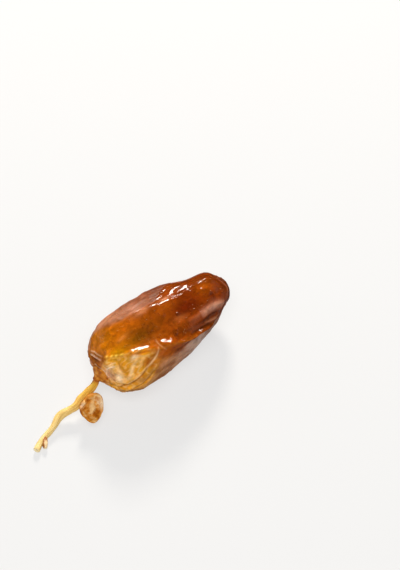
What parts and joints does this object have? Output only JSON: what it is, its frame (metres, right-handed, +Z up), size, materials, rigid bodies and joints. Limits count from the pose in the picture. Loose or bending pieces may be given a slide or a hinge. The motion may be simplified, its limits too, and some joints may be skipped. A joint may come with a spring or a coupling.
{
  "type": "dried date",
  "caption": "Wrinkled, glossy amber-brown dried date on its side, with its woody cap, a cut piece of yellow strand and a bare cap",
  "frame": {"origin": "on the surface that the date lies on, below the middle of the bounding box", "axes": "+X runs from the fruit's capped base to its tip, +Z is up, and +Y completes a right-handed frame"},
  "size_m": [0.0656, 0.0214, 0.0185],
  "materials": {
    "fruit": "glossy, wrinkled, sugary skin",
    "strand": "dry, finely fibrous",
    "cap": "dry and woody, with paler rims"
  },
  "bodies": {
    "root": {"fruit": "fruit", "strand": "strand", "date_cap": "cap", "bare_cap": "cap"}
  },
  "joints": []
}
